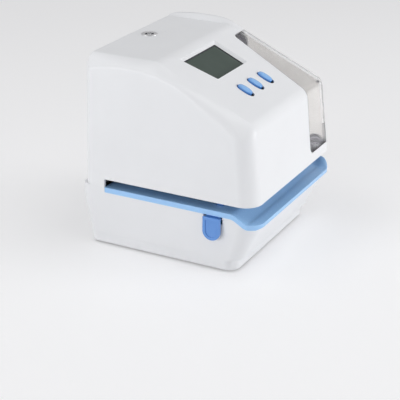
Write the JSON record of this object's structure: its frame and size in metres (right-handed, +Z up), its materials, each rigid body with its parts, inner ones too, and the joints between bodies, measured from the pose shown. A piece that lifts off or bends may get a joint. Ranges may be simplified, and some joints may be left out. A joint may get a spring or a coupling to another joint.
{
  "type": "date and time stamp machine",
  "caption": "Desk date and time stamp machine with a sloping display panel, press buttons, a clear corner window, an open paper slot, a stop lever and a lockable lift-off cover.",
  "frame": {"origin": "centre of the footprint, on the desk under the rubber feet", "axes": "+X to the operator's right, -Y to the front where paper goes in, +Z up"},
  "size_m": [0.1677, 0.177, 0.1822],
  "materials": {
    "white_plastic": "fine satin texture",
    "blue_plastic": "glossy",
    "clear_plastic": "clear, polished",
    "beige_plastic": "satin",
    "dark_plastic": "satin",
    "lcd_glass": "polished display",
    "steel": "zinc plated sheet",
    "bright_steel": "ground and polished",
    "brass": "turned",
    "rubber": "matt",
    "circuit_board": "solder mask",
    "battery_sleeve": "shrink sleeve",
    "ink_ribbon": "inked fabric",
    "spring_steel": "drawn wire",
    "cable": "flat cable",
    "lamp": "diffused"
  },
  "bodies": {
    "machine": {"base_shell": "white_plastic", "bottom_plate": "steel", "rubber_feet": "rubber", "bottom_screws": "steel", "paper_table": "blue_plastic", "platen": "rubber", "rear_frame": "steel", "upper_deck": "steel", "left_side_plate": "steel", "right_side_plate": "steel", "front_guide_shaft": "bright_steel", "rear_guide_shaft": "bright_steel", "drive_belt": "rubber", "motor_bracket": "steel", "carriage_motor": "steel", "idler_pin": "bright_steel", "ribbon_cartridge": "dark_plastic", "cartridge_lid": "dark_plastic", "ink_ribbon": "ink_ribbon", "print_unit_shield": "beige_plastic", "display_bracket": "steel", "lcd_module": "dark_plastic", "lcd_glass": "lcd_glass", "button_board": "circuit_board", "button_switches": "dark_plastic", "button_springs": "spring_steel", "main_board": "circuit_board", "board_parts": "dark_plastic", "backup_battery": "battery_sleeve", "buzzer": "dark_plastic", "display_cable": "cable", "rear_panel": "white_plastic", "power_jack": "dark_plastic", "lock_catch": "steel", "sensor_bracket": "steel", "sensor_switch": "dark_plastic", "stop_lever_pin": "bright_steel", "stop_lever_spring": "spring_steel", "print_lamp": "lamp"},
    "cover": {"top_cover": "white_plastic", "window": "clear_plastic", "lock_sleeve": "bright_steel", "lock_nut": "brass"},
    "lock": {"lock_barrel": "bright_steel", "lock_cam": "steel"},
    "left_button": {"left_button": "blue_plastic"},
    "middle_button": {"middle_button": "blue_plastic"},
    "right_button": {"right_button": "blue_plastic"},
    "stop_lever": {"stop_lever": "blue_plastic"},
    "sensor_lever": {"sensor_lever": "dark_plastic"},
    "carriage": {"carriage": "dark_plastic", "carriage_bushes": "brass", "belt_clamp": "dark_plastic", "print_head": "steel"},
    "drive_pulley": {"motor_shaft": "bright_steel", "drive_pulley": "brass"},
    "idler_pulley": {"idler_pulley": "brass"},
    "ribbon_feed": {"ribbon_knob": "blue_plastic", "feed_roller": "dark_plastic"},
    "ribbon_pinch": {"pinch_roller": "dark_plastic"}
  },
  "joints": [
    {"name": "cover_lift", "type": "slide", "parent": "machine", "child": "cover", "axis": [0, 0, 1], "range_m": [0, 0.125]},
    {"name": "lock_turn", "type": "hinge", "parent": "cover", "child": "lock", "pos_m": [0.0036, 0.0638, 0.1775], "axis": [0, 0, 1], "range_deg": [0, 90]},
    {"name": "stop_lever_swing", "type": "hinge", "parent": "machine", "child": "stop_lever", "pos_m": [-0.0796, -0.0454, 0.051], "axis": [0, 1, 0], "range_deg": [0, 18], "stiffness_Nm_per_rad": 0.02, "springref_deg": -8.59, "deforming": ["stop_lever_spring"]},
    {"name": "sensor_swing", "type": "hinge", "parent": "machine", "child": "sensor_lever", "pos_m": [0.02, 0.0498, 0.0775], "axis": [1, 0, 0], "range_deg": [0, 25], "stiffness_Nm_per_rad": 0.001, "springref_deg": -8.59},
    {"name": "carriage_slide", "type": "slide", "parent": "machine", "child": "carriage", "axis": [1, 0, 0], "range_m": [-0.036, 0.036]},
    {"name": "drive_pulley_spin", "type": "hinge", "parent": "machine", "child": "drive_pulley", "pos_m": [-0.054, 0.014, 0.08], "axis": [0, 0, 1], "range_deg": [-266, 266]},
    {"name": "idler_pulley_spin", "type": "hinge", "parent": "machine", "child": "idler_pulley", "pos_m": [0.054, 0.014, 0.08], "axis": [0, 0, 1], "range_deg": [-266, 266]},
    {"name": "ribbon_knob_turn", "type": "hinge", "parent": "machine", "child": "ribbon_feed", "pos_m": [-0.045, -0.0652, 0.0884], "axis": [0, 0, 1], "continuous": true},
    {"name": "pinch_roller_spin", "type": "hinge", "parent": "machine", "child": "ribbon_pinch", "pos_m": [-0.0356, -0.0652, 0.0884], "axis": [0, 0, 1], "continuous": true},
    {"name": "left_button_press", "type": "slide", "parent": "machine", "child": "left_button", "axis": [0, 0.4163, -0.9092], "range_m": [0, 0.0012], "stiffness_N_per_m": 200, "springref_m": -0.001},
    {"name": "middle_button_press", "type": "slide", "parent": "machine", "child": "middle_button", "axis": [0, 0.4163, -0.9092], "range_m": [0, 0.0012], "stiffness_N_per_m": 200, "springref_m": -0.001, "deforming": ["button_springs"]},
    {"name": "right_button_press", "type": "slide", "parent": "machine", "child": "right_button", "axis": [0, 0.4163, -0.9092], "range_m": [0, 0.0012], "stiffness_N_per_m": 200, "springref_m": -0.001}
  ],
  "couplings": [
    {"joint": "drive_pulley_spin", "follows": "carriage_slide", "rad_per_m": 128.21},
    {"joint": "idler_pulley_spin", "follows": "carriage_slide", "rad_per_m": 128.21},
    {"joint": "pinch_roller_spin", "follows": "ribbon_knob_turn", "ratio": -1}
  ]
}
